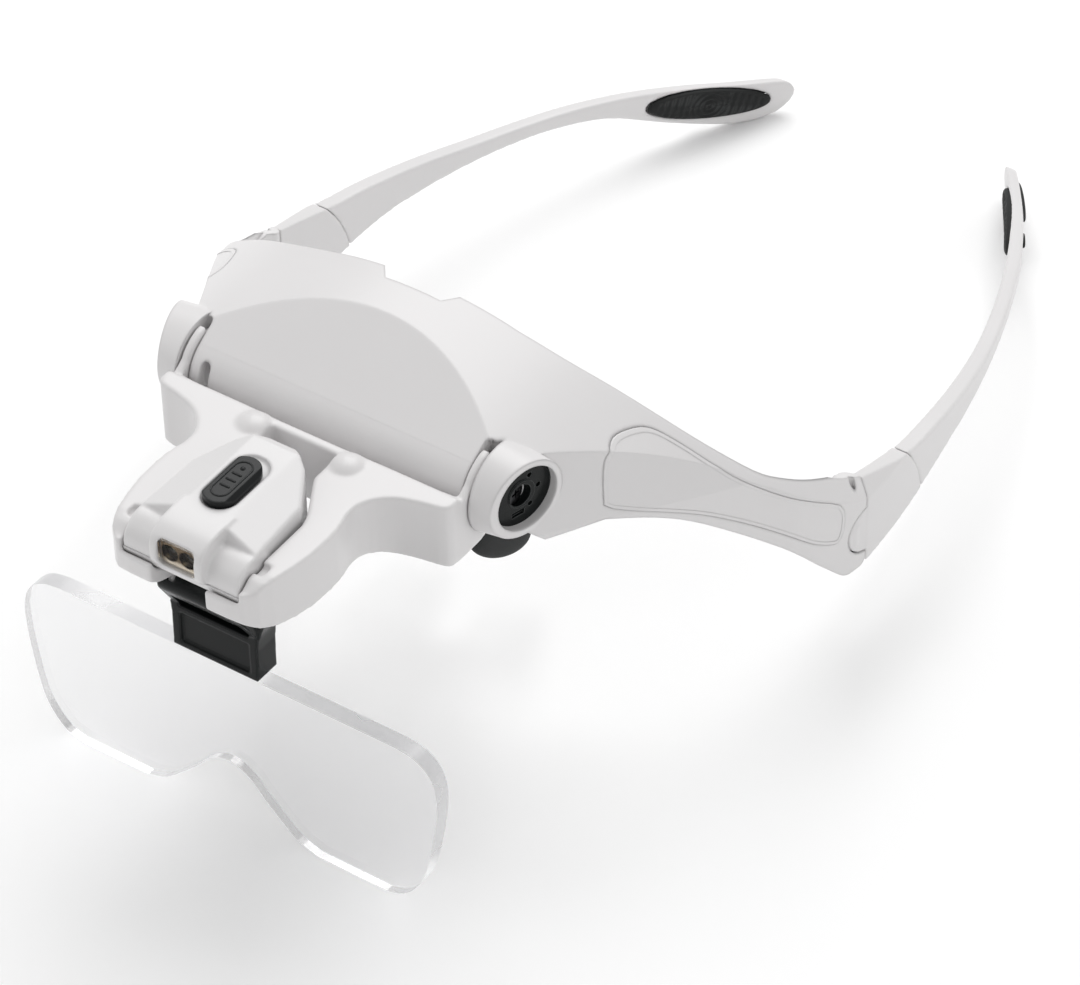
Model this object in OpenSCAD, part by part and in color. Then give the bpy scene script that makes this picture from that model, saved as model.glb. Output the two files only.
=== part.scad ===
// Lighted headband magnifier: brow frame, flip-up lens arm, tilting lamp, clear lens and side arms.
// Millimetres. Z is up, the lens is at -Y, the arm tips are at +Y and X is zero on the mid plane.

/* [Brow frame] */
// Radius of the crown's curve seen from the front
crown_r = 82.8; // [82:0.1:84]
// Wall thickness of the brow shell
wall = 2.2; // [1.8:0.1:2.6]
// Radius of the front drum that the face plane rolls into
drum_r = 8.7; // [8.4:0.1:8.9]
// Slope of the front face, in degrees
face_slope = 28.9; // [28:0.1:30]
// Radius of each pivot boss
boss_r = 9.4; // [9.2:0.1:10]
// Radius of the round recess in each pivot boss
recess_r = 7.65; // [7:0.05:8]
// Tilt of the boss's outer face, in degrees
boss_tilt = 16; // [12:1:17]

/* [Lens arm] */
// Radius of the round end that turns in the frame's slot
hub_r = 9.6; // [9.3:0.1:9.8]
// Thickness of that round end
hub_t = 2; // [1.8:0.1:2.4]
// Radius of the pivot screw's shank
screw_r = 1.5; // [1.3:0.1:2]
// Radius of the pin that carries the lens clip
clip_pin_r = 1.2; // [1:0.1:1.5]

/* [Lamp] */
// Half width of the lamp unit
lamp_half = 14.2; // [14:0.1:14.4]
// Radius of the lamp's front drum
lamp_r = 5.6; // [5.3:0.1:5.7]
// Wall thickness of the lamp shells
lamp_wall = 1.5; // [1.2:0.1:1.7]
// Diameter of a button cell
cell_d = 16; // [14:0.5:16.5]
// Thickness of a button cell
cell_t = 2; // [1.6:0.1:2.1]
// Diameter of a light emitting diode
led_d = 3.8; // [3:0.1:4]
// Travel of the switch
switch_travel = 2; // [1:0.1:2.2]

/* [Lens and clip] */
// Thickness of the clear lens
lens_t = 4; // [3.2:0.1:4.4]
// Height of the lens from its lower rims to its top edge
lens_h = 41.8; // [40.5:0.1:42.5]
// Thickness of the lens's tab
tab_t = 3; // [2.4:0.1:3.2]
// Half width of the lens's tab
tab_half = 7.6; // [6.5:0.1:7.8]

/* [Side arms] */
// Radius of each hinge pin
hinge_pin_r = 0.8; // [0.6:0.1:1]
// Radius of the frame's end round each hinge pin
knuckle_r = 3; // [2.8:0.1:3.1]
// Radius of the hinge's round nose, seen from the side
nose_r = 5.9; // [5.5:0.1:6.1]
// Radius of the inner face of each side arm, seen from above
arm_r = 240; // [236:0.5:246]
// How far each ear pad stands proud of its side arm
pad_proud = 1.4; // [0.8:0.1:1.8]

/* [Hidden] */
$fn = 96;

// A gap between pieces that move past each other, a running fit and the reach of a cutting solid
gap = 0.35;
fit = 0.05;
far = 300;

// Sizes below start under the pivot slot, and the part's origin lies under the middle of its length
mid_y = 84.05;

// Height of the crown's top, the centre of its curve, and the pivot line of the lens arm
crown_top = 93.3;
crown_z = crown_top - crown_r;
pivot_y = 2.7;
pivot_z = 75.2;
// Apex of the sloping face on the mid plane
face_y = 18;
face_z = 93.6;
// A point of the leaning side plane, its heading and its lean
lean_at = [45, 13.3, 80];
lean_heading = -25.5;
lean_angle = 15;

// Slot for the arm's round end, and the boss outside it
slot_in = 34;
slot_out = slot_in + hub_t + 2 * gap;
hub_in = slot_in + gap;
hub_out = hub_in + hub_t;
washer_t = 0.5;
washer_in = hub_out + fit;
boss_x = 44.3;
recess_depth = 3.4;
cap_t = 1.4;
screw_seat = 39.6;
screw_head_r = screw_r + 0.8;
screw_head_h = 1.8;
screw_tip = 24;

// Hinge pin line and the height of the knuckle's middle
hinge_x = crown_r - 6.2;
hinge_y = 75;
hinge_z = 27;
nose_y = 78.5;
nose_in = 1.6;
core_r = 2.1;
core_half = 2.5;
end_y = hinge_y + knuckle_r - fit;
block_y = hinge_y + knuckle_r + 0.3;
pin_foot = 19;
pin_top = 39.6;

// Centre of the side arm's inner arc, and the outer arc that thins it towards the tip
arm_y = 82;
arm_x = hinge_x - 1.6;
arm_outer_r = arm_r - 4;
arm_outer_x = hinge_x + 2.4;
seam_y = 70;
seam_z = 14;
seam_r = 33;
tongue_len = 9;
tongue_turn = 4.3;

// Turning line of the lamp, the parting of its shells and its battery bay
lamp_y = -48;
lamp_z = 77;
lamp_floor = 70.4;
lamp_floor_t = 1.8;
lamp_split = 74.5;
lamp_back = -18;
lamp_top = 86;
lamp_edge = 82.6;
lip_top = 75.6;
nose_half = 6.4;
bay_y = -30.5;
bay_r = cell_d / 2 + 1.2;
cell_foot = lamp_floor + lamp_floor_t + 0.2;
board_z = 77.8;
board_t = 1;
led_x = 2.15;
led_z = 80.4;
led_tip = -52.7;
window_half = 4.6;
window_low = 77.2;
window_high = 83.8;
window_y = -54.3;
window_t = 0.8;
pane_r = 1.3;
switch_y = -35.5;
switch_half = 3.8;
switch_len = 15;
stem_len = 5;
stem_half = 1.4;

// Clip pin line, the lean of the lens group and the clip's planes in the leaning frame
clip_y = -45.6;
clip_z = 64.8;
lean = 1.744;
lens_y = -43.8;
lens_foot = lens_t * sin(lean);
clip_front = -46.5;
clip_back = -40;
clip_low = lens_h + 3.2;
clip_barrel_r = 3.4;
clip_barrel_half = 10.4;
tab_y = -43.1;
tab_top = clip_low + 10;
lug_in = 6.9;
lug_out = 8.8;
lug_r = 2.2;
neck_half = 1.3;

// Rounded line through points: every span is a cubic with the slopes of its neighbours
function spline_at(p, i, t) = let (a = p[max(i - 1, 0)], b = p[i], c = p[i + 1],
    d = p[min(i + 2, len(p) - 1)])
    0.5 * (2 * b + (c - a) * t + (2 * a - 5 * b + 4 * c - d) * t * t
    + (3 * b - a - 3 * c + d) * t * t * t);
function smooth(p, steps = 4) = concat([for (i = [0:len(p) - 2], k = [0:steps - 1])
    spline_at(p, i, k / steps)], [p[len(p) - 1]]);
// An outline and its mirror image across X, joined into one ring
function flipped(p) = [for (i = [len(p) - 1:-1:0]) [-p[i][0], p[i][1]]];
function ring(p) = concat(p, flipped(p));
// An outline that runs clockwise, drawn in by a distance
function drawn_in(p, d) = [for (i = [0:len(p) - 1]) let (a = p[(i + len(p) - 1) % len(p)],
    b = p[(i + 1) % len(p)], t = (b - a) / norm(b - a)) p[i] + d * [t[1], -t[0]]];
// An ellipse turned by an angle
function oval(centre, a, b, turn) = [for (k = [0:10:350])
    centre + [a * cos(k) * cos(turn) - b * sin(k) * sin(turn),
    a * cos(k) * sin(turn) + b * sin(k) * cos(turn)]];

// Carries a piece from the axes that it is drawn in to the part's own origin
module placed() {
    translate([0, -mid_y, 0]) children();
}

// Prisms drawn in the YZ, XZ and XY planes
module prism_x(outline, x0, x1) {
    translate([x0, 0, 0]) rotate([90, 0, 90]) linear_extrude(x1 - x0) polygon(outline);
}
module prism_y(outline, y0, y1) {
    translate([0, y1, 0]) rotate([90, 0, 0]) linear_extrude(y1 - y0) polygon(outline);
}
module prism_z(outline, z0, z1) {
    translate([0, 0, z0]) linear_extrude(z1 - z0) polygon(outline);
}
module rod_x(r, x0, x1, y, z) {
    translate([x0, y, z]) rotate([0, 90, 0]) cylinder(r = r, h = x1 - x0);
}
module rod_y(r, y0, y1, x, z) {
    translate([x, y1, z]) rotate([90, 0, 0]) cylinder(r = r, h = y1 - y0);
}
module rod_z(r, z0, z1, x, y) {
    translate([x, y, z0]) cylinder(r = r, h = z1 - z0);
}
module block(x0, x1, y0, y1, z0, z1) {
    translate([x0, y0, z0]) cube([x1 - x0, y1 - y0, z1 - z0]);
}
module both() {
    children();
    mirror([1, 0, 0]) children();
}
module on_left() {
    mirror([1, 0, 0]) children();
}

// Outer plan of the brow shell, its side view and its free rear edge
function from_boss(share) = boss_x + share * (hinge_x - boss_x);
brow_plan = concat([[slot_out, -1.5], [boss_x - 2, -1.5]],
    smooth([[boss_x, 2.3], [from_boss(0.331), 22.6], [from_boss(0.641), 41.6], [from_boss(0.79), 50.8],
    [from_boss(0.913), 58.5], [hinge_x + 0.1, 67], [hinge_x + 1.9, 75], [hinge_x + 2.35, 80]]));
brow_side = concat([[-1.5, 100], [-1.5, pivot_z], [pivot_y, pivot_z], [pivot_y, 65.9], [5.8, 62.7],
    [8.9, 62.5]], smooth([[18.1, 62.1], [28.6, 57.3], [38.7, 50.4], [55.2, 35.4], [66.6, 22.7],
    [70.6, 18.5], [72.6, 17.5]]), [[end_y - 1.6, 17.4], [end_y - 0.6, 17.9], [end_y, 19]],
    smooth([[end_y, 41], [74, 43], [69, 46.2], [64, 51.5], [58, 62]]), [[58, 100]]);
// Shares of the hinge's distance from the mid plane
brow_rear = concat([[0, 26.7], [6.9, 26.7], [9.4, 30]], [for (q = smooth([[0.3133, 30.4],
    [0.4269, 31.7], [0.5366, 34.1], [0.6749, 38.4], [0.7859, 43.5], [0.8799, 50.4], [0.9295, 57.5],
    [0.9648, 65.9], [0.9817, 74], [0.983, 90]])) [q[0] * hinge_x, q[1]]]);
// Side view of the inset panel, from its front lower corner over the top
panel_side = concat(smooth([[18.6, 65.2], [20, 71.2], [21.8, 75.2], [25.6, 76.9], [31, 76.1],
    [34.8, 74.4], [37.9, 70.6], [41.7, 64.8], [46.6, 58.4], [55, 50.2], [62, 44.8], [67, 41.4]]),
    smooth([[69.4, 39.4], [70.8, 36.4], [70.6, 31.8], [69.2, 29.2], [66.8, 29.8], [62, 33], [55.2, 39.4],
    [47, 46.6], [38.4, 53.2], [30.4, 58], [23.4, 61.8], [20, 63.8]]));

// Depth of the panel's pocket, and the bead on the panel's rim
panel_depth = 1.2;
bead_rise = 0.1;
bead_width = 0.7;

// Where the room inside the brow meets the free rear edge
room_end = 50;

// Half space below the sloping face, drawn back by an inset
module under_face(inset) {
    translate([0, face_y, face_z]) rotate([face_slope, 0, 0])
        block(-far, far, -far, far, -far, -inset);
}

// Half spaces inside the two leaning side planes
module inside_lean(inset) {
    intersection_for (side = [0, 1]) mirror([side, 0, 0])
        translate(lean_at) rotate([0, 0, lean_heading]) rotate([0, -lean_angle, 0])
            block(-far, -inset, -far, far, -far, far);
}

// The whole brow as a solid, drawn in by an inset
module brow_form(inset) {
    intersection() {
        rod_y(crown_r - inset, -20, 100, 0, crown_z);
        prism_z(ring(brow_plan), 0, 100);
        under_face(inset);
        inside_lean(inset);
    }
}

// Room inside the brow, narrower than the plan by the wall on each side
module brow_room(inset) {
    intersection() {
        rod_y(crown_r - inset, -20, 100, 0, crown_z);
        under_face(inset);
        inside_lean(inset);
        both() translate([-inset / cos(lean_heading), 0, 0]) prism_z(concat([[-1, -20]],
            [[40, -20]], brow_plan, [[-1, 80]]), -1, 100);
        block(-far, far, -20, room_end, -1, far);
    }
}

// Front drum: an open C that the face rolls into
module drum_skin() {
    difference() {
        rod_x(drum_r, -slot_in, slot_in, pivot_y, pivot_z);
        rod_x(drum_r - wall, -slot_in + wall, slot_in - wall, pivot_y, pivot_z);
        prism_x([[pivot_y, pivot_z], [pivot_y - 50 * sin(face_slope), pivot_z + 50 * cos(face_slope)],
            [50, 100], [50, 0], [pivot_y, 0]], wall - slot_in, slot_in - wall);
    }
}

// Boss with its tilted outer face
module boss_form() {
    intersection() {
        translate([slot_out, pivot_y, pivot_z]) rotate([0, 90, 0])
            cylinder(r1 = boss_r + 0.6, r2 = boss_r - 0.8, h = boss_x + 4 - slot_out);
        translate([boss_x, pivot_y, pivot_z]) rotate([0, 0, -boss_tilt])
            block(-far, 0, -far, far, -far, far);
    }
}

// A round solid sunk square into the boss's tilted face
module boss_disc(r, from, to) {
    translate([boss_x, pivot_y, pivot_z]) rotate([0, 0, -boss_tilt]) rod_x(r, from, to, 0, 0);
}

module brow_shell() {
    color("white") placed() difference() {
        union() {
            difference() {
                intersection() {
                    brow_form(0);
                    prism_x(brow_side, -90, 90);
                }
                brow_room(wall);
                prism_z(ring(concat(brow_rear, [[0.983 * hinge_x, far]])), -1, 100);
            }
            drum_skin();
            both() {
                boss_form();
                rod_x(screw_r + 2, screw_tip, slot_in, pivot_y, pivot_z);
                // Hinge plates round the pin, topped by the crown's curve
                intersection() {
                    rod_y(crown_r, 60, 90, 0, crown_z);
                    union() {
                        rod_z(knuckle_r, 17, 44, hinge_x, hinge_y);
                        prism_z([[hinge_x - 2.6, 66], [hinge_x + 3, 66], [hinge_x + 3.4, hinge_y],
                            [hinge_x - knuckle_r + 0.2, hinge_y], [hinge_x - knuckle_r + 0.4, 71]],
                            17, 44);
                    }
                    prism_z(concat([[0, 0]], brow_plan, [[0, 80]]), 0, 60);
                    prism_x(brow_side, 0, 90);
                }
                // Posts for the nose bridge's screws
                rod_z(2.3, bridge_top, crown_top - 2.3, bridge_screw_x, bridge_screw_y);
            }
        }
        both() {
            rod_x(hub_r + gap, slot_in, slot_out, pivot_y, pivot_z);
            boss_disc(recess_r, -recess_depth, 5);
            rod_x(screw_head_r + 0.2, screw_seat, 60, pivot_y, pivot_z);
            rod_x(screw_r + fit, screw_tip + 2, 60, pivot_y, pivot_z);
            rod_x(screw_r + 2.7, slot_in, washer_in + washer_t, pivot_y, pivot_z);
            // Round end of the slot, square to the sloping face
            translate([slot_in + 1.3, face_y, face_z]) rotate([face_slope, 0, 0])
                rod_z(1.25, -4, 4, 0, (pivot_y - face_y + 0.2) / cos(face_slope));
            panel_pocket();
            // Hinge slot for the nose, and the pin's bore
            hinge_slot();
            rod_z(hinge_pin_r + fit, pin_foot, 60, hinge_x, hinge_y);
            rod_z(1.1, bridge_top - 4, crown_top - 3.3, bridge_screw_x, bridge_screw_y);
        }
        // Round-topped window in the drum beside the arm, on the left only
        block(-31.6, -29.2, -20, pivot_y - 4, pivot_z - 1, pivot_z + 4.6);
        rod_y(1.2, -20, pivot_y - 4, -30.4, pivot_z + 4.6);
    }
}

// Room for the hinge's nose and for the path that its inner side turns through
module hinge_slot() {
    rod_x(nose_r + gap, hinge_x - 7, hinge_x + 9, nose_y, hinge_z);
    intersection() {
        rod_z(norm([nose_in, block_y - hinge_y]) + gap, hinge_z - nose_r - gap, hinge_z + nose_r + gap,
            hinge_x, hinge_y);
        block(0, hinge_x, 60, 90, 0, 60);
    }
    rod_z(core_r + gap, hinge_z - core_half - gap, hinge_z + core_half + gap, hinge_x, hinge_y);
}

// A round nose seen from the side, flush with the frame's skin, and the low core on the pin
module hinge_nose() {
    intersection() {
        rod_x(nose_r, hinge_x - 7, hinge_x + 9, nose_y, hinge_z);
        rod_y(crown_r, 60, 90, 0, crown_z);
        prism_z(concat([[0, 0]], brow_plan, [[0, 80]]), 0, 60);
        union() {
            block(hinge_x, hinge_x + 9, 70, block_y + 1, 0, 60);
            block(hinge_x - nose_in, hinge_x, hinge_y, block_y + 1, 0, 60);
        }
    }
    rod_z(core_r, hinge_z - core_half, hinge_z + core_half, hinge_x, hinge_y);
}

// Shallow pocket for the side panel
module panel_pocket() {
    intersection() {
        difference() {
            brow_form(-1);
            panel_core(panel_depth);
        }
        prism_x(panel_side, 30, 90);
    }
}

// What stays of the brow inside a skin of the given depth
module panel_core(depth) {
    intersection() {
        rod_y(crown_r - depth, -20, 100, 0, crown_z);
        inside_lean(depth);
        translate([-depth / cos(lean_heading), 0, 0])
            prism_z(concat([[0, -20]], brow_plan, [[0, 80]]), 0, 100);
    }
}

module side_panel() {
    color("white") placed() {
        intersection() {
            difference() {
                brow_form(0);
                panel_core(panel_depth - fit);
            }
            prism_x(drawn_in(panel_side, fit), 30, 90);
        }
        // Low bead along the outline
        intersection() {
            difference() {
                panel_core(-bead_rise);
                panel_core(panel_depth / 2);
            }
            difference() {
                prism_x(drawn_in(panel_side, fit), 30, 90);
                prism_x(drawn_in(panel_side, fit + bead_width), 29, 91);
            }
        }
    }
}
module side_panel_right() {
    side_panel();
}
module side_panel_left() {
    on_left() side_panel();
}

module pivot_cap() {
    color("#282c2c") placed() difference() {
        union() {
            boss_disc(recess_r - fit, -recess_depth, cap_t - recess_depth);
            boss_disc(screw_head_r + 1, -recess_depth, cap_t - recess_depth + 0.35);
        }
        rod_x(screw_head_r + 0.3, 30, 60, pivot_y, pivot_z);
        // Three small holes and a curved finger slot
        for (a = [60, 0, -60]) translate([boss_x, pivot_y, pivot_z]) rotate([0, 0, -boss_tilt])
            rod_x(0.6, -recess_depth - 1, 0, recess_r * 0.57 * cos(a), recess_r * 0.57 * sin(a));
        translate([boss_x, pivot_y, pivot_z]) rotate([0, 0, -boss_tilt])
            block(cap_t - recess_depth - 0.7, 0, -2.6, 0.6, -5.4, -4.1);
    }
}
module pivot_cap_right() {
    pivot_cap();
}
module pivot_cap_left() {
    on_left() pivot_cap();
}

module pivot_screw() {
    color("#70757a") placed() difference() {
        union() {
            rod_x(screw_r, screw_tip + 3, screw_seat, pivot_y, pivot_z);
            rod_x(screw_head_r, screw_seat, screw_seat + screw_head_h, pivot_y, pivot_z);
        }
        // Cross recess
        block(screw_seat + screw_head_h - 0.9, 60, pivot_y - 1.3, pivot_y + 1.3, pivot_z - 0.3, pivot_z + 0.3);
        block(screw_seat + screw_head_h - 0.9, 60, pivot_y - 0.3, pivot_y + 0.3, pivot_z - 1.3, pivot_z + 1.3);
    }
}
module pivot_screw_right() {
    pivot_screw();
}
module pivot_screw_left() {
    on_left() pivot_screw();
}

module pivot_washer() {
    color("silver") placed() difference() {
        rod_x(screw_r + 2.6, washer_in, washer_in + washer_t, pivot_y, pivot_z);
        rod_x(screw_r + fit, 30, 50, pivot_y, pivot_z);
    }
}
module pivot_washer_right() {
    pivot_washer();
}
module pivot_washer_left() {
    on_left() pivot_washer();
}

// Stalk that hangs from the brow to the nose, its screws and its two soft pads
bridge_top = crown_top - 9.3;
bridge_screw_x = 5.6;
bridge_screw_y = 20;
bridge_y = 29.5;
bridge_z = 28.5;
pad_at = [12.6, 37, 23];
pad_turn = -36;

module nose_bridge() {
    color("white") placed() difference() {
        union() {
            block(-9, 9, 15.5, 24.5, bridge_top - 2.2, bridge_top);
            prism_x(concat(smooth([[17.4, bridge_top - 2], [18.2, 70], [20.2, 48], [25.5, 33], [28, 27]]),
                smooth([[31.2, 28.6], [29.4, 34], [23.8, 48.6], [21.8, 70], [21.6, bridge_top - 2]])),
                -4.5, 4.5);
            rod_x(1.8, -11.6, 11.6, bridge_y, bridge_z);
        }
        both() rod_z(1.3, 70, 90, bridge_screw_x, bridge_screw_y);
        both() rod_z(2.1, 60, bridge_top - 2.2, bridge_screw_x, bridge_screw_y);
    }
}

module nose_bridge_screws() {
    color("silver") placed() both() {
        rod_z(1.1, bridge_top - 3.4, bridge_top + 4.5, bridge_screw_x, bridge_screw_y);
        rod_z(1.9, bridge_top - 3.6, bridge_top - 2.2, bridge_screw_x, bridge_screw_y);
    }
}

module nose_pad() {
    color("#282c2c") placed() difference() {
        prism_x(oval([pad_at[1], pad_at[2]], 13, 4.9, pad_turn), pad_at[0] - 1.8, pad_at[0] + 1.8);
        rod_x(1.8, 5, 11.6, bridge_y, bridge_z);
    }
}
module nose_pad_right() {
    nose_pad();
}
module nose_pad_left() {
    on_left() nose_pad();
}

module hinge_pin() {
    color("silver") placed() rod_z(hinge_pin_r, pin_foot, pin_top, hinge_x, hinge_y);
}
module hinge_pin_right() {
    hinge_pin();
}
module hinge_pin_left() {
    on_left() hinge_pin();
}

// Plan of the lens arm's housing and arms, and its side view
arm_plan = concat([[6.7, -55], [12, -54.85], [15.6, -54.1], [18, -52], [19.3, -48.8]],
    smooth([[20.4, -44], [21.3, -37.9], [21.3, -30.5], [20.1, -24], [21.4, -19.8], [25, -16.4],
    [30, -14.6], [34, -13.8]], 3), [[35.6, -13.2], [hub_out, -12], [hub_out, -7.6], [33, -7.6],
    [11.5, -9.5]]);
arm_side = concat([[-60, 71.8], [-55.4, 71.8]], smooth([[-55, 71.2], [-52.4, 69.2], [-48, 67.6], [-42, 66.7]]),
    [[-20, 66]], smooth([[-18, 65.7], [-12.8, 64.2], [-6, 63.6], [0, 64]]), [[0, 78.2], [-8.2, 78.7],
    [-9.6, 80.4], [-48, 80.4], [-50.8, 79.8], [-52.8, 78.2], [-60, 78.2]]);
lamp_plan = [[lamp_half, lamp_y], [lamp_half - 0.9, -31], [lamp_half - 5.7, -23], [2.4, lamp_back]];
pocket_plan = [[lamp_half + gap, lamp_y], [lamp_half + gap, -32.7], [lamp_half + gap - 0.9, -29.7],
    [lamp_half + gap - 5.25, -22], [lamp_half + gap - 6.35, -20], [lamp_half + gap - 6.35, -11.8]];

module lens_arm() {
    color("white") placed() difference() {
        union() {
            intersection() {
                union() {
                    both() prism_z(concat([[0, -55], [6.7, -55]], arm_plan, [[0, -9.5]]), 60, 90);
                }
                prism_x(arm_side, -60, 60);
            }
            both() {
                // Round bump on the yoke's rear corner
                translate([11.6, -13.2, 77]) sphere(5);
                rod_x(hub_r - 2.4, hub_in, hub_out, pivot_y, pivot_z);
                // Full rim in front, up to a horn that ends under the sloping face
                intersection() {
                    rod_x(hub_r, hub_in, hub_out, pivot_y, pivot_z);
                    prism_x([[pivot_y, pivot_z], [pivot_y - 3, pivot_z + 24], [-40, pivot_z + 24], [-40, 40],
                        [pivot_y + 3, 40]], 0, 60);
                }
                // Neck from the arm into the round end
                prism_x(concat(smooth([[-8, 63.7], [-2, 63.9], [pivot_y, pivot_z - hub_r]]),
                    [[pivot_y, pivot_z], [pivot_y - 8, pivot_z + 5.2], [-8, 78.6]]), hub_in, hub_out);
            }
        }
        // Pocket for the lamp, open below
        difference() {
            prism_z(ring(pocket_plan), 60, 90);
            block(-20, 20, lamp_y - 1, clip_y + 5.6, 60, lamp_floor - 0.8);
        }
        rod_x(lamp_r + gap, -lamp_half - gap, lamp_half + gap, lamp_y, lamp_z);
        block(-lamp_half - gap, lamp_half + gap, -60, lamp_y, lip_top, 90);
        block(-nose_half - gap, nose_half + gap, -60, clip_y + 3.9, 60, 90);
        both() {
            // Hollow under each arm and behind the cheeks
            prism_z([[17.5, -38], [18.8, -30], [17.8, -23], [20.5, -16.5], [25.5, -12.9], [30.5, -10.6],
                [30.5, -9.8], [11.6, -11.6], [11.6, -22], [16, -30]], 60, 76);
            // Groove that lets the lamp's stub in, and the stub's bore
            block(lamp_half, lamp_half + gap + 2.3, lamp_y - 0.6, lamp_y + 2.4, lamp_z + 2, 90);
            rod_x(1.5 + fit, lamp_half, lamp_half + 2.2, lamp_y, lamp_z);
            rod_x(screw_r + fit, 30, 40, pivot_y, pivot_z);
        }
        both() rod_x(clip_barrel_r + gap, 4, clip_barrel_half + gap, clip_y, clip_z);
    }
    color("white") placed() both() difference() {
        union() {
            rod_x(lug_r, lug_in, lug_out, clip_y, clip_z);
            block(lug_in, lug_out, clip_y - neck_half, clip_y + neck_half, clip_z, lamp_floor - 0.8);
        }
        rod_x(clip_pin_r + fit, 0, 20, clip_y, clip_z);
    }
}

module clip_pin() {
    color("silver") placed() rod_x(clip_pin_r, -clip_barrel_half + 0.5, clip_barrel_half - 0.5, clip_y, clip_z);
}

// Lamp solid drawn in by an inset: roofed body, wings and nose
module lamp_form(inset) {
    intersection() {
        prism_z(ring([for (p = lamp_plan) [p[0] - inset * (p[1] == lamp_back ? 0.5 : 1.1),
            p[1] == lamp_back ? p[1] - inset * 1.2 : p[1] + (p[1] < -40 ? 0 : -inset * 0.4)]]), 60, 100);
        prism_y([[-lamp_half - 1, lamp_floor], [lamp_half + 1, lamp_floor],
            [lamp_half + 1, lamp_edge - 0.3 - inset], [5.4, lamp_top - inset * 1.1],
            [-5.4, lamp_top - inset * 1.1], [-lamp_half - 1, lamp_edge - 0.3 - inset]], -60, 0);
        prism_x([[lamp_y + 1, lamp_floor], [lamp_back + 0.5 - inset, lamp_floor],
            [lamp_back + 0.3 - inset, 81 - inset], [lamp_back - 1 - inset, 84.6 - inset],
            [lamp_back - 3.5 - inset, lamp_top + 0.2 - inset], [-46, lamp_top - inset],
            [lamp_y + 1, lamp_edge - inset]], -20, 20);
    }
    rod_x(lamp_r - inset, inset - lamp_half, lamp_half - inset, lamp_y, lamp_z);
    prism_x(concat([[-43, 76.5 + inset], [-54.2 + inset * 0.8, 76.5 + inset]],
        smooth([[-55.1 + inset * 0.8, 78.2 + inset], [-55.1 + inset * 0.8, 81.5 - inset * 0.4],
        [-54 + inset * 0.6, 84 - inset], [-51.5, lamp_top - inset - 0.5],
        [-48, lamp_top - inset], [-43, lamp_top - inset]])), inset - nose_half, nose_half - inset);
}

// Rounded rectangle seen from the front, drawn in by an inset
module pane(inset, y0, y1) {
    block(inset - window_half + pane_r, window_half - pane_r - inset, y0, y1, window_low + inset,
        window_high - inset);
    block(inset - window_half, window_half - inset, y0, y1, window_low + pane_r + inset,
        window_high - pane_r - inset);
    for (x = [-1, 1], z = [window_low + pane_r + inset, window_high - pane_r - inset])
        rod_y(pane_r, y0, y1, x * (window_half - pane_r - inset), z);
}

// Plan of the switch's slider with both ends round, grown and shifted
module slider_form(grow, shift, z0, z1) {
    reach = switch_len / 2 - switch_half;
    block(-switch_half - grow, switch_half + grow, switch_y - reach, switch_y + reach + shift, z0, z1);
    for (y = [-reach, reach]) rod_z(switch_half + grow, z0, z1, 0, switch_y + y + shift);
}

module lamp_cover() {
    color("white") placed() difference() {
        union() {
            difference() {
                lamp_form(0);
                lamp_form(lamp_wall);
                block(-20, 20, -50, 0, 60, lamp_split);
                block(-20, 20, -60, -40, 60, 76.5);
            }
            both() intersection() {
                rod_z(1.9, lamp_split, 90, lamp_half - 3.6, -43.5);
                lamp_form(0.5);
            }
        }
        // Window opening, switch recess, stem slot and screw holes
        pane(0, -60, window_y + 2);
        slider_form(0.3, 0, lamp_top - 0.8, 90);
        slider_form(0.3, switch_travel, lamp_top - 0.8, 90);
        block(-stem_half - 0.3, stem_half + 0.3, switch_y - stem_len / 2 - 0.3,
            switch_y + stem_len / 2 + switch_travel + 0.3, 80, 90);
        both() rod_z(0.9, 60, 81.5, lamp_half - 3.6, -43.5);
    }
}

module lamp_base() {
    color("white") placed() difference() {
        union() {
            difference() {
                intersection() {
                    lamp_form(0);
                    union() {
                        block(-20, 20, lamp_y + 1, 0, lamp_floor, lamp_split);
                        block(-20, 20, -60, lamp_y + 1, 60, 76.4);
                    }
                }
                difference() {
                    lamp_form(lamp_wall);
                    block(-20, 20, -60, 0, 60, lamp_floor + lamp_floor_t);
                }
            }
            both() rod_z(2.2, lamp_floor, lamp_split, lamp_half - 3.6, -43.5);
            both() rod_x(1.5, lamp_half - lamp_wall, lamp_half + 2, lamp_y, lamp_z);
        }
        block(-20, 20, -60, -40, 76.5, 90);
        rod_z(bay_r, 60, 90, 0, bay_y);
        rod_z(bay_r + 0.9, lamp_floor + 0.9, 90, 0, bay_y);
        both() {
            rod_z(0.95, 60, 90, lamp_half - 3.6, -43.5);
            rod_z(1.75, 60, lamp_floor + 1.2, lamp_half - 3.6, -43.5);
        }
    }
}

module lamp_screws() {
    color("silver") placed() both() {
        rod_z(0.9, lamp_floor + 1.2, 80.5, lamp_half - 3.6, -43.5);
        rod_z(1.65, lamp_floor + 0.2, lamp_floor + 1.2, lamp_half - 3.6, -43.5);
    }
}

module led_window() {
    color("#b89a6a", 0.5) placed() pane(fit, window_y, window_y + window_t);
}

module reflector() {
    color("#a08a60") placed() difference() {
        union() {
            pane(0.25, window_y + window_t + 0.1, -52.4);
            block(0.3 - window_half, window_half - 0.3, -52.4, -50.6, window_low + 0.95, window_high - 0.8);
        }
        both() translate([led_x, window_y + window_t, led_z]) rotate([-90, 0, 0])
            cylinder(r1 = led_x - 0.1, r2 = led_d / 2 + 0.05, h = 5);
    }
}

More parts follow.
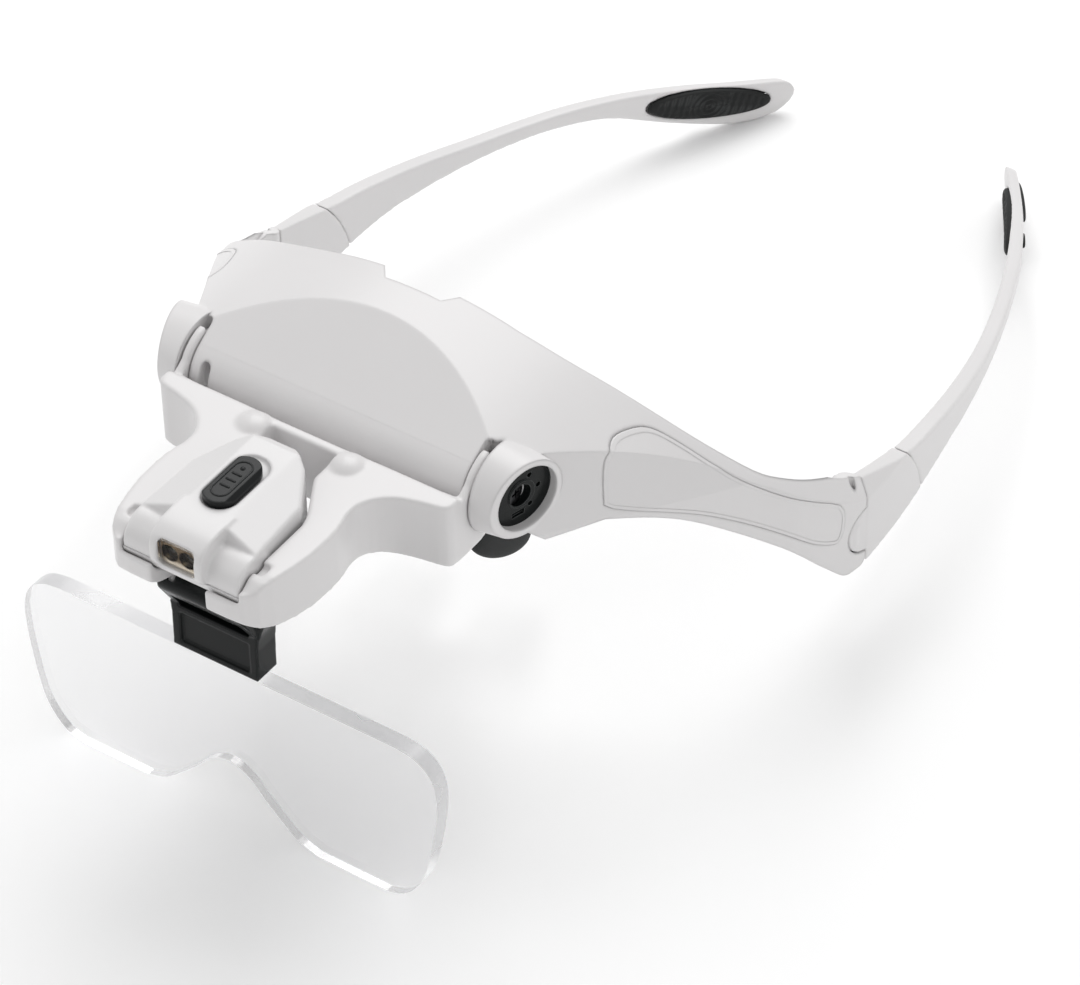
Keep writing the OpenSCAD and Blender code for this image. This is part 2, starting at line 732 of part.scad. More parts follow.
module leds() {
    color("#e8e0c8") placed() both() {
        rod_y(led_d / 2, led_tip + led_d / 2, -49.2, led_x, led_z);
        intersection() {
            translate([led_x, led_tip + led_d / 2, led_z]) sphere(led_d / 2);
            block(-10, 10, -60, led_tip + led_d / 2, 70, 90);
        }
        // Two legs that run back and down to the board
        for (side = [-0.6, 0.6]) {
            rod_y(0.25, -49.2, -45.5, led_x + side, led_z);
            rod_z(0.25, board_z + board_t, led_z + 0.25, led_x + side, -45.5);
        }
    }
}

module circuit_board() {
    color("#3c6a46") placed() block(-8, 8, -46.5, -26, board_z, board_z + board_t);
}

module button_cells() {
    color("silver") placed() for (k = [0, 1])
        rod_z(cell_d / 2, cell_foot + k * (cell_t + 0.1), cell_foot + k * (cell_t + 0.1) + cell_t, 0, bay_y);
}

module battery_contacts() {
    color("#c8a850") placed() {
        // Upper leaf with its dimple, and the side strip
        block(-1.5, 1.5, bay_y - 4, bay_y + 4, board_z - 0.3, board_z);
        rod_z(1, cell_foot + 2 * cell_t + 0.15, board_z - 0.3, 0, bay_y);
        block(-1.5, 1.5, bay_y - cell_d / 2 - 0.45, bay_y - cell_d / 2 - 0.1, cell_foot, board_z);
    }
}

module switch_body() {
    color("#303030") placed() difference() {
        block(-3, 3, switch_y - 5.2, switch_y + 6.2, board_z + board_t, 82.2);
        block(-stem_half - 0.3, stem_half + 0.3, switch_y - stem_len / 2 - 0.3,
            switch_y + stem_len / 2 + switch_travel + 0.3, 80.4, 90);
    }
}

module switch_slider() {
    color("#282c2c") placed() union() {
        intersection() {
            slider_form(0, 0, lamp_top - 0.45, 88);
            prism_y([[-switch_half, 80], [switch_half, 80], [switch_half, lamp_top + 0.6],
                [switch_half - 1, lamp_top + 1.5], [1 - switch_half, lamp_top + 1.5],
                [-switch_half, lamp_top + 0.6]], -60, 0);
        }
        block(-stem_half, stem_half, switch_y - stem_len / 2, switch_y + stem_len / 2, 80.8, lamp_top);
    }
}

module battery_cap() {
    color("white") placed() difference() {
        union() {
            rod_z(bay_r - 0.15, lamp_floor - 0.1, lamp_floor + 0.9, 0, bay_y);
            rod_z(bay_r - 0.15, lamp_floor + 0.9, cell_foot - 0.1, 0, bay_y);
            for (a = [0, 180]) translate([0, bay_y, 0]) rotate([0, 0, a])
                block(-2, 2, bay_r - 1, bay_r + 0.6, lamp_floor + 1.2, cell_foot - 0.3);
        }
        block(-6, 6, bay_y - 0.8, bay_y + 0.8, 60, lamp_floor + 0.7);
    }
}

// The lens group leans back a little about the foot of the lens
module leaning() {
    translate([0, lens_y, 0]) rotate([-lean, 0, 0]) translate([0, -lens_y, 0]) children();
}
neck_side = neck_half + gap;
neck_path = [[-neck_side * cos(30), -neck_side * sin(30)],
    [-neck_side * cos(30) - 9 * sin(30), 9 * cos(30) - neck_side * sin(30)],
    [neck_side * cos(15) + 9 * sin(15), 9 * cos(15) - neck_side * sin(15)],
    [neck_side * cos(15), -neck_side * sin(15)]];
clip_front_view = concat([[10.7, 40]], smooth([[10.7, 53], [11.2, 57], [12.5, 60.4]]),
    [[12.5, 75]]);

module lens_clip() {
    color("#282c2c") placed() difference() {
        union() {
            leaning() intersection() {
                prism_x([[clip_front, clip_low], [clip_back, clip_low], [clip_back, 59.5], [-43.6, 64.7],
                    [-49.9, 64.7], [-50, 62.3], [clip_front, 56.8]], -20, 20);
                prism_y(ring(clip_front_view), -60, -30);
            }
            rod_x(clip_barrel_r, -clip_barrel_half, clip_barrel_half, clip_y, clip_z);
        }
        leaning() {
            // Slot for the lens's tab, front panel and the deep hollow above it
            block(-tab_half - 0.3, tab_half + 0.3, tab_y - tab_t / 2 - 0.3, tab_y + tab_t / 2 + 0.3,
                40, tab_top + 0.3);
            block(-8.6, 8.6, -60, clip_front + 0.8, clip_low + 1.3, max(54.2, clip_low + 3));
            block(-8.8, 8.8, -60, -44.4, 56, 60.6);
        }
        both() {
            // Room for the arm's lug, and for its neck from 30 degrees ahead to 15 behind
            rod_x(lug_r + gap, lug_in - gap, lug_out + gap, clip_y, clip_z);
            prism_x([for (q = neck_path) [clip_y, clip_z] + q], lug_in - gap, lug_out + gap);
        }
        both() block(10.7, 20, -60, clip_y + 1.4, 56.5, 80);
        rod_x(clip_pin_r + fit, -20, 20, clip_y, clip_z);
    }
}

// Outline of one half of the lens, from the nose notch round to the top
lens_outline = concat(smooth([[0, 15.7], [2.6, 15.1], [5.7, 13], [8, 10.4], [10.1, 8.2], [13.3, 5.2],
    [17, 2], [22, lens_foot]]), smooth([[39.5, lens_foot], [43.6, 1.6], [46.8, 5], [49.2, 10], [51.3, 20],
    [52.4, 29], [52.1, lens_h - 7.6], [50.6, lens_h - 3.7], [47.4, lens_h - 1.1], [43.5, lens_h - 0.15],
    [40, lens_h]]));

module magnifier_lens() {
    color("#e8eeee", 0.4) placed() leaning() {
        prism_y(ring(lens_outline), lens_y, lens_y + lens_t);
        block(-tab_half, tab_half, lens_y, lens_y + lens_t - 0.4, lens_h - 0.1, clip_low - 0.5);
        block(-tab_half, tab_half, lens_y, tab_y + tab_t / 2, lens_h - 0.1, tab_top);
        block(-tab_half, tab_half, tab_y - tab_t / 2, tab_y + tab_t / 2, clip_low + 0.1, tab_top);
    }
}

// Side view of a side arm, and of the ear pads on it
arm_bottom = smooth([[78, 17.5], [90, 18.6], [113, 21.4], [128, 21.4], [140, 21], [152, 20.2], [164, 18.8],
    [179, 15.2], [193, 7.9], [203, 3.2], [210, 0.7], [215.5, 0]]);
arm_end = smooth([[215.5, 0], [219.8, 1.2], [222.6, 4], [223.21, 7], [221.6, 9.4], [218.6, 10.4]]);
arm_upper = smooth([[218.6, 10.4], [210, 12.4], [200, 15.3], [186, 18.9], [171, 21.8], [159, 23.5],
    [144, 25.7], [126, 29.4], [109, 32.8], [97, 35], [80, 40]]);
arm_view = concat(arm_bottom, arm_end, arm_upper, [[78, 40.6]]);

// Curved bar between the two arcs, thickened on each side
module temple_sweep(inner, outer) {
    difference() {
        rod_z(arm_outer_r + outer, -1, 60, arm_outer_x - arm_outer_r, arm_y);
        rod_z(arm_r - inner, -2, 61, arm_x - arm_r, arm_y);
    }
}
module temple_form(inner, outer, outline) {
    intersection() {
        temple_sweep(inner, outer);
        prism_x(outline, 10, 85);
    }
}

// Flat tongue that joins a side arm to its hinge block
module tongue(grow, length) {
    translate([hinge_x, 99, hinge_z + 0.2]) rotate([0, 0, tongue_turn])
        block(-0.9 - grow, 0.9 + grow, -length - grow, 8, -4.5 - grow, 4.5 + grow);
}

module hinge_block() {
    color("white") placed() difference() {
        union() {
            intersection() {
                temple_form(0, 0, arm_view);
                rod_x(seam_r - 0.05, 0, 100, seam_y, seam_z);
                rod_y(crown_r, 60, 120, 0, crown_z);
                block(0, 100, block_y, 200, 0, 60);
            }
            hinge_nose();
        }
        rod_z(hinge_pin_r + fit, 0, 60, hinge_x, hinge_y);
        tongue(0.1, tongue_len);
    }
}
module hinge_block_right() {
    hinge_block();
}
module hinge_block_left() {
    on_left() hinge_block();
}

pad_inner_view = oval([203.5, 9.6], 15, 4, -17);
pad_outer_views = [oval([212.4, 8.6], 9, 1.5, -15), oval([204.3, 4.9], 3, 1.2, -15)];
insert_proud = 0.9;

module temple_arm() {
    color("white") placed() difference() {
        union() {
            difference() {
                temple_form(0, 0, arm_view);
                rod_x(seam_r + 0.05, 0, 100, seam_y, seam_z);
            }
            tongue(0, tongue_len - 0.2);
        }
        temple_form(1, -0.6, pad_inner_view);
        temple_form(-0.6, 1, pad_outer_views[0]);
        temple_form(-0.6, 1, pad_outer_views[1]);
    }
}
module temple_arm_right() {
    temple_arm();
}
module temple_arm_left() {
    on_left() temple_arm();
}

// Soft ear pads: an oval on the inside, two small inserts on the outside
module ear_pad_inner() {
    color("#282c2c") placed() difference() {
        temple_form(pad_proud, -0.6 - fit, pad_inner_view);
        temple_form(-0.6, 1, arm_view);
    }
}
module ear_pad_inner_right() {
    ear_pad_inner();
}
module ear_pad_inner_left() {
    on_left() ear_pad_inner();
}

module ear_pad_outer() {
    color("#282c2c") placed() difference() {
        union() {
            temple_form(-0.6, insert_proud, pad_outer_views[0]);
            temple_form(-0.6, insert_proud, pad_outer_views[1]);
        }
        temple_form(1, -0.6, arm_view);
    }
}
module ear_pad_outer_right() {
    ear_pad_outer();
}
module ear_pad_outer_left() {
    on_left() ear_pad_outer();
}

brow_shell();
side_panel_left();
side_panel_right();
pivot_cap_left();
pivot_cap_right();
pivot_screw_left();
pivot_screw_right();
pivot_washer_left();
pivot_washer_right();
nose_bridge();
nose_bridge_screws();
nose_pad_left();
nose_pad_right();
hinge_pin_left();
hinge_pin_right();
lens_arm();
clip_pin();
lamp_cover();
lamp_base();
led_window();
reflector();
leds();
circuit_board();
button_cells();
battery_contacts();
switch_body();
lamp_screws();
switch_slider();
battery_cap();
lens_clip();
magnifier_lens();
hinge_block_left();
hinge_block_right();
temple_arm_left();
temple_arm_right();
ear_pad_inner_left();
ear_pad_inner_right();
ear_pad_outer_left();
ear_pad_outer_right();
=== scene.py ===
"""Looks of a lighted headband magnifier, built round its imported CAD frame, in metres.

+Z is up, the lens and lamp are at -Y, and the side arms run to +Y. The drawing of the part counts its
depths from under the pivot slot, 84.05 mm in front of the origin, so a depth taken from the drawing has
that subtracted.
"""
import math

import bpy
import numpy as np
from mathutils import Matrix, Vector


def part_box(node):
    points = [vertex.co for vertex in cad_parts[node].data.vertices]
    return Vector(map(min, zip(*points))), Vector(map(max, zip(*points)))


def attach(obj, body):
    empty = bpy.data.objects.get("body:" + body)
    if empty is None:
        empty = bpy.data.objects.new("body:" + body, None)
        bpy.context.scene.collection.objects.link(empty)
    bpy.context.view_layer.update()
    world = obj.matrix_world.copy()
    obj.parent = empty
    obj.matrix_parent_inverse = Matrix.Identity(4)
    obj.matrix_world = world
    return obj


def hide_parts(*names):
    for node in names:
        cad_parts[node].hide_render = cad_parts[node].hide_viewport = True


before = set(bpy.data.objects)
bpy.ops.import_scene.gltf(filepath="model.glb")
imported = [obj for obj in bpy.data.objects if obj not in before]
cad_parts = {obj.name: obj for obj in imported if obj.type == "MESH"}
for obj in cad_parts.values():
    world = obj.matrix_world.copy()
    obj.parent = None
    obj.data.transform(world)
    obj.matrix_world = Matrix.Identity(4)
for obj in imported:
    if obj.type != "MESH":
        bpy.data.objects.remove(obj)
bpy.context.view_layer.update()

# The view: a long lens from the front right and above, as in the photograph. The floor is a pale sheet,
# and the light is a white room with a broad soft panel overhead and a weaker one at each side.
camera = bpy.data.objects.new("view", bpy.data.cameras.new("view"))
bpy.context.scene.collection.objects.link(camera)
camera.location = (0.473348, -0.688315, 0.742187)
camera.rotation_euler = [math.radians(a) for a in (48.15743, 0.98017, 34.18766)]
camera.data.sensor_width = 36
camera.data.lens = 166.667
camera.data.clip_start = 0.05
camera.data.clip_end = 20
bpy.context.scene.camera = camera
bpy.context.scene.view_settings.view_transform = "Standard"


def add(tree, kind, settings=None, **values):
    """A new node of the given kind: settings are its own properties, values go to its inputs.

    A value is a number, a colour or the socket to link from. Its name is its socket's, with _ for a space,
    or i and the socket's number.
    """
    made = tree.nodes.new("ShaderNode" + kind)
    for key, value in (settings or {}).items():
        setattr(made, key, value)
    for key, value in values.items():
        by_place = key[0] == "i" and key[1:].isdigit()
        socket = made.inputs[int(key[1:]) if by_place else key.replace("_", " ")]
        if isinstance(value, bpy.types.NodeSocket):
            tree.links.new(value, socket)
        else:
            socket.default_value = value
    return made


def new_material(name):
    """An empty node material and its output node."""
    material = bpy.data.materials.new(name)
    material.use_nodes = True
    material.node_tree.nodes.clear()
    return material, material.node_tree.nodes.new("ShaderNodeOutputMaterial")


def mesh_piece(name, points, faces, material, body):
    """A smooth piece of one material, from points and arrays of faces, on a CAD body if one is named."""
    mesh = bpy.data.meshes.new(name)
    corners = [face for part in faces for face in part.tolist()]
    mesh.from_pydata(np.asarray(points).reshape(-1, 3).tolist(), [], corners)
    mesh.materials.append(material)
    mesh.polygons.foreach_set("use_smooth", [True] * len(mesh.polygons))
    mesh.update()
    piece = bpy.data.objects.new(name, mesh)
    bpy.context.scene.collection.objects.link(piece)
    if body:
        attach(piece, body)
    return piece


floor_paint, floor_out = new_material("pale floor")
tree = floor_paint.node_tree
where = add(tree, "TexCoord").outputs["Object"]
mottle = add(tree, "TexNoise", Vector=where, Scale=3.0, Detail=4.0)
tone = add(tree, "MapRange", Value=mottle.outputs["Fac"], To_Min=0.965, To_Max=0.985)
shade = add(tree, "CombineColor", Red=tone.outputs[0], Green=tone.outputs[0], Blue=tone.outputs[0])
paint = add(tree, "BsdfPrincipled", Base_Color=shade.outputs[0], Roughness=0.75)
tree.links.new(paint.outputs[0], floor_out.inputs[0])
reach = 3.0
sheet = [(-reach, -reach, 0), (reach, -reach, 0), (reach, reach, 0), (-reach, reach, 0)]
floor = mesh_piece("floor", sheet, [np.array([[0, 1, 2, 3]])], floor_paint, None)

world = bpy.data.worlds.new("white room")
bpy.context.scene.world = world
world.use_nodes = True
sky = world.node_tree.nodes["Background"].inputs
sky["Color"].default_value = (1.0, 1.0, 1.0, 1.0)
sky["Strength"].default_value = 0.54


def soft_panel(name, place, aim, size, power):
    """A square area light at a place, turned to face the aim point."""
    lamp = bpy.data.objects.new(name, bpy.data.lights.new(name, "AREA"))
    bpy.context.scene.collection.objects.link(lamp)
    lamp.data.size = size
    lamp.data.energy = power
    lamp.location = place
    back = np.array(place, float) - np.array(aim, float)
    back /= np.linalg.norm(back)
    lamp.rotation_euler = (math.acos(back[2]), 0, math.atan2(back[0], -back[1]))


middle = (0, 0, 0.04)
soft_panel("overhead", (-0.25, 0.65, 1.15), middle, size=1.1, power=11.2)
soft_panel("left fill", (-0.9, -0.7, 0.7), middle, size=0.9, power=2.5)
soft_panel("right fill", (1.1, -0.1, 0.5), middle, size=0.8, power=1.7)

# Brow frame: one injection moulding in white ABS, a thin shell with a rolled front drum. The moulding
# leaves small radii on every edge, and a satin skin with a fine grain, faint flow waves and a broad
# mottle.
skin = bpy.data.node_groups.new("moulded skin", "ShaderNodeTree")
for title in ("Rounding", "Grain Scale", "Grain Depth", "Flow Depth"):
    skin.interface.new_socket(name=title, in_out="INPUT", socket_type="NodeSocketFloat")
skin.interface.new_socket(name="Mottle", in_out="OUTPUT", socket_type="NodeSocketFloat")
skin.interface.new_socket(name="Highlight Edge", in_out="OUTPUT", socket_type="NodeSocketFloat")
skin.interface.new_socket(name="Normal", in_out="OUTPUT", socket_type="NodeSocketVector")
given = skin.nodes.new("NodeGroupInput").outputs
where = add(skin, "TexCoord").outputs["Object"]
rounded = add(skin, "Bevel", {"samples": 6}, Radius=given["Rounding"])
fine = add(skin, "TexNoise", Vector=where, Scale=given["Grain Scale"], Detail=3.0, Roughness=0.6)
flow = add(skin, "TexNoise", Vector=where, Scale=70.0, Detail=2.0)
wavy = add(skin, "Bump", Strength=given["Flow Depth"], Distance=0.001, Height=flow.outputs["Fac"],
           Normal=rounded.outputs[0])
grainy = add(skin, "Bump", Strength=given["Grain Depth"], Distance=0.0002, Height=fine.outputs["Fac"],
             Normal=wavy.outputs[0])
# The edge mask marks the rounded edges, where the materials lay a painted highlight.
face = add(skin, "NewGeometry")
alike = add(skin, "VectorMath", {"operation": "DOT_PRODUCT"}, i0=rounded.outputs[0],
            i1=face.outputs["True Normal"])
edge = add(skin, "MapRange", Value=alike.outputs["Value"], From_Min=0.995, From_Max=0.86, To_Min=0.0,
           To_Max=1.0)
broad = add(skin, "TexNoise", Vector=where, Scale=28.0, Detail=5.0, Roughness=0.55)
out = skin.nodes.new("NodeGroupOutput").inputs
skin.links.new(broad.outputs["Fac"], out["Mottle"])
skin.links.new(edge.outputs[0], out["Highlight Edge"])
skin.links.new(grainy.outputs[0], out["Normal"])


def skinned(tree, rounding, scale, grain, flow):
    """The skin placed in a material, with its edges' rounding, its grain and the depth of its waves."""
    part = add(tree, "Group", {"node_tree": skin}, Rounding=rounding, Grain_Scale=scale, Grain_Depth=grain,
               Flow_Depth=flow)
    return part.outputs


def moulding(name, dark, light, edge_highlight, rough, rounding, grain, flow=0.03, scale=2600.0, shine=0.5):
    """A moulded plastic or rubber: two tones in a mottle, a painted highlight on edges, a roughness that
    drifts.
    """
    material, output = new_material(name)
    tree = material.node_tree
    surface = skinned(tree, rounding, scale, grain, flow)
    spread = 0.05
    tone = add(tree, "Mix", {"data_type": "RGBA"}, Factor=surface["Mottle"], i6=(*dark, 1), i7=(*light, 1))
    # The third colour, laid on the edges by the edge mask, is a painted highlight.
    rim = add(tree, "Mix", {"data_type": "RGBA"}, Factor=surface["Highlight Edge"], i6=tone.outputs[2],
              i7=(*edge_highlight, 1))
    drift = add(tree, "MapRange", Value=surface["Mottle"], To_Min=rough - spread, To_Max=rough + spread)
    body = add(tree, "BsdfPrincipled", Base_Color=rim.outputs[2], Roughness=drift.outputs[0],
               Normal=surface["Normal"], Specular_IOR_Level=shine)
    tree.links.new(body.outputs[0], output.inputs[0])
    return material


shell_dark, shell_light = (0.690, 0.678, 0.679), (0.735, 0.723, 0.724)
brow_white = moulding("brow plastic", shell_dark, shell_light, (0.740, 0.728, 0.729), rough=0.36,
                      rounding=0.0010, grain=0.05)


def finish_node(name, material):
    """Gives every face of a CAD node one material."""
    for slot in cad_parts[name].material_slots:
        slot.material = material


finish_node("brow_shell", brow_white)

# Side panels: thin white inlays of the same plastic, snapped into shallow pockets on the brow's flanks. A
# low raised rim and the hairline round each one catch the light.
panel_white = moulding("inlay plastic", shell_dark, shell_light, (0.745, 0.734, 0.735), rough=0.34,
                       rounding=0.0004, grain=0.05)
for side in ("left", "right"):
    finish_node("side_panel_" + side, panel_white)

# Nose bridge: a white moulded stalk under the middle of the brow, with a cross pin for the pads at its
# foot. Two small self-tapping screws of zinc plated steel hold it up in the crown.
white_shell = moulding("white satin plastic", shell_dark, shell_light, (0.775, 0.764, 0.765), rough=0.34,
                       rounding=0.0005, grain=0.05)
finish_node("nose_bridge", white_shell)


def metal(name, dark, light, rough, direction, scale, grain=0.03):
    """A turned or drawn metal: fine lines across one axis vary its tone and roughness; a painted highlight
    on edges.
    """
    material, output = new_material(name)
    tree = material.node_tree
    surface = skinned(tree, rounding=0.00008, scale=5200.0, grain=grain, flow=0.0)
    spread = 0.08
    # Edges get a brighter copy of the light tone: a painted highlight.
    painted_edge_highlight = [min(1, 1.6 * c) for c in light]
    where = add(tree, "TexCoord").outputs["Object"]
    stretched = add(tree, "Mapping", Vector=where, Scale=direction)
    lines = add(tree, "TexNoise", Vector=stretched.outputs[0], Scale=scale, Detail=4.0)
    tone = add(tree, "Mix", {"data_type": "RGBA"}, Factor=lines.outputs["Fac"], i6=(*dark, 1),
               i7=(*light, 1))
    rim = add(tree, "Mix", {"data_type": "RGBA"}, Factor=surface["Highlight Edge"], i6=tone.outputs[2],
              i7=(*painted_edge_highlight, 1))
    drift = add(tree, "MapRange", Value=lines.outputs["Fac"], To_Min=rough - spread, To_Max=rough + spread)
    body = add(tree, "BsdfPrincipled", Base_Color=rim.outputs[2], Roughness=drift.outputs[0], Metallic=1.0,
               Normal=surface["Normal"])
    tree.links.new(body.outputs[0], output.inputs[0])
    return material


zinc = metal("zinc plated steel", (0.42, 0.43, 0.45), (0.62, 0.63, 0.64), rough=0.32,
             direction=(1.0, 1.0, 6.0), scale=900.0)
finish_node("nose_bridge_screws", zinc)

# Nose pads: two soft black elastomer pads, crowned on both faces, moulded in one piece each and pushed
# onto the cross pin of the nose bridge. They lean forward, as the sides of a nose do.
rubber = moulding("soft black elastomer", (0.010, 0.011, 0.011), (0.018, 0.019, 0.019),
                  (0.040, 0.042, 0.042), rough=0.60, rounding=0.0003, grain=0.35, flow=0.05, scale=3200.0,
                  shine=0.2)


def shell_faces(rings, columns, flip=False):
    """Faces of a closed shell: quads between rings of points, and a fan of triangles at each end.

    Point j of ring i stands at i times columns plus j. The two poles come after the rings, first the one
    beside ring 0. Flipped faces keep their first corner and run the other way round.
    """
    i, j = np.meshgrid(np.arange(rings - 1), np.arange(columns), indexing="ij")
    here, there, beside = i * columns, (i + 1) * columns, (j + 1) % columns
    quads = np.stack([here + j, there + j, there + beside, here + beside], -1).reshape(-1, 4)
    j = np.arange(columns)
    beside, last = (j + 1) % columns, (rings - 1) * columns
    near_fan = np.stack([np.full(columns, rings * columns), j, beside], -1)
    far_fan = np.stack([np.full(columns, rings * columns + 1), last + beside, last + j], -1)
    if flip:
        return [quads[:, [0, 3, 2, 1]], near_fan[:, [0, 2, 1]], far_fan[:, [0, 2, 1]]]
    return [quads, near_fan, far_fan]


def pillow(centre, half, turn, rows=28, columns=72, square=2.6):
    """A closed crowned pad: a turned ellipse in the YZ plane, whose rim rolls over as a superellipse.

    With t from pole to pole and a round the rim, x is the half thickness times the signed power 2/square
    of sin t, and the radius is the power 2/square of cos t times the ellipse. Both poles are closed by
    fans.
    """
    t = np.linspace(-math.pi / 2, math.pi / 2, rows)[1:-1, None]
    a = np.linspace(0, 2 * math.pi, columns, endpoint=False)[None, :]
    x = half[0] * np.sign(np.sin(t)) * np.abs(np.sin(t)) ** (2 / square) + 0 * a
    reach = np.abs(np.cos(t)) ** (2 / square)
    u, v = half[1] * reach * np.cos(a), half[2] * reach * np.sin(a)
    y = u * math.cos(turn) - v * math.sin(turn)
    z = u * math.sin(turn) + v * math.cos(turn)
    rings = np.stack([x, y, z], -1).reshape(-1, 3)
    points = np.vstack([rings, [[-half[0], 0, 0], [half[0], 0, 0]]]) + np.array(centre)
    return points, shell_faces(rows - 2, columns, flip=True)


pad_half = (0.0018, 0.0129, 0.00485)
pad_lean = math.radians(-36)
for side in ("left", "right"):
    low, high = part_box("nose_pad_" + side)
    points, faces = pillow((low + high) / 2, pad_half, pad_lean)
    pad = mesh_piece("nose_cushion_" + side, points, faces, rubber, "frame")
    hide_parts("nose_pad_" + side)

# Pivot hardware: black dished caps pressed into the bosses, each round the blackened cross-head screw
# that the lens arm turns on, with a bright washer behind it. The hinge pins of the side arms are bright
# drawn steel.
black_shell = moulding("black satin plastic", (0.004, 0.005, 0.005), (0.008, 0.0095, 0.0095),
                       (0.08, 0.085, 0.085), rough=0.24, rounding=0.00035, grain=0.10, shine=0.14)
blued = metal("black oxide steel", (0.03, 0.03, 0.032), (0.07, 0.07, 0.074), rough=0.34,
              direction=(1.0, 1.0, 1.0), scale=900.0)
bright = metal("bright drawn steel", (0.55, 0.55, 0.56), (0.75, 0.75, 0.76), rough=0.22,
               direction=(0.2, 6.0, 1.0), scale=700.0)
for side in ("left", "right"):
    finish_node("pivot_cap_" + side, black_shell)
    finish_node("pivot_screw_" + side, blued)
    finish_node("pivot_washer_" + side, bright)
    finish_node("hinge_pin_" + side, bright)

# Lens arm: a white moulded yoke whose two round ends turn in the brow's slots, with a steel pin for the
# lens clip. The mould leaves its corners well rounded.


def soften(name, voxel, passes):
    """Rounds a moulding's edges: a voxel remesh, then each point averaged with its neighbours, in passes."""
    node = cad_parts[name]
    fine = node.modifiers.new("fine", "REMESH")
    fine.mode = "VOXEL"
    fine.voxel_size = voxel
    fine.use_smooth_shade = True
    blur = node.modifiers.new("blur", "SMOOTH")
    blur.factor = 0.5
    blur.iterations = passes


soften("lens_arm", voxel=0.00034, passes=14)
finish_node("lens_arm", white_shell)
finish_node("clip_pin", bright)

# Lamp: two white moulded shells, held together by two screws round the board, the cells with their brass
# leaves and the switch. A white coin-slot cap under it closes the battery bay with a short turn.
lamp_white = moulding("lamp shell plastic", (0.692, 0.682, 0.683), (0.737, 0.727, 0.728),
                      (0.780, 0.770, 0.771), rough=0.30, rounding=0.0008, grain=0.04)
nickel = metal("nickel cell cans", (0.62, 0.62, 0.60), (0.80, 0.80, 0.78), rough=0.25,
               direction=(1.0, 1.0, 1.0), scale=400.0)
brass = metal("sheet brass", (0.60, 0.42, 0.16), (0.80, 0.62, 0.30), rough=0.30,
              direction=(1.0, 8.0, 1.0), scale=500.0)
nylon = moulding("black nylon", (0.02, 0.02, 0.02), (0.035, 0.035, 0.035), (0.05, 0.05, 0.05), rough=0.55,
                 rounding=0.0002, grain=0.2)
board = moulding("green board", (0.015, 0.08, 0.03), (0.03, 0.14, 0.05), (0.30, 0.28, 0.16), rough=0.35,
                 rounding=0.0001, grain=0.1)
soften("lamp_cover", voxel=0.00025, passes=9)
for name in ("lamp_cover", "lamp_base", "battery_cap"):
    finish_node(name, lamp_white)
finish_node("lamp_screws", zinc)
finish_node("button_cells", nickel)
finish_node("battery_contacts", brass)
finish_node("switch_body", nylon)
finish_node("circuit_board", board)

# Reflector, diodes and window: a plated plastic tray, bronze, with a painted highlight as a silver band
# at its foot, two clear epoxy domes in it, and a thin clear pane snapped in front.
plating, plating_out = new_material("warm plating")
highlight_from, highlight_full = 0.0792, 0.0776
tree = plating.node_tree
where = add(tree, "TexCoord").outputs["Object"]
smoke = add(tree, "TexNoise", Vector=where, Scale=300.0, Detail=2.0)
height = add(tree, "SeparateXYZ", Vector=where)
# Below a set height the tray turns pale silver: a painted highlight at its foot.
foot_highlight = add(tree, "MapRange", Value=height.outputs["Z"], From_Min=highlight_from, From_Max=highlight_full,
               To_Min=0.0, To_Max=1.0)
bronze = add(tree, "Mix", {"data_type": "RGBA"}, Factor=smoke.outputs["Fac"], i6=(0.06, 0.042, 0.026, 1),
             i7=(0.17, 0.12, 0.072, 1))
tone = add(tree, "Mix", {"data_type": "RGBA"}, Factor=foot_highlight.outputs[0], i6=bronze.outputs[2],
           i7=(0.80, 0.74, 0.64, 1))
drift = add(tree, "MapRange", Value=smoke.outputs["Fac"], To_Min=0.14, To_Max=0.26)
body = add(tree, "BsdfPrincipled", Base_Color=tone.outputs[2], Roughness=drift.outputs[0], Metallic=1.0)
tree.links.new(body.outputs[0], plating_out.inputs[0])
finish_node("reflector", plating)


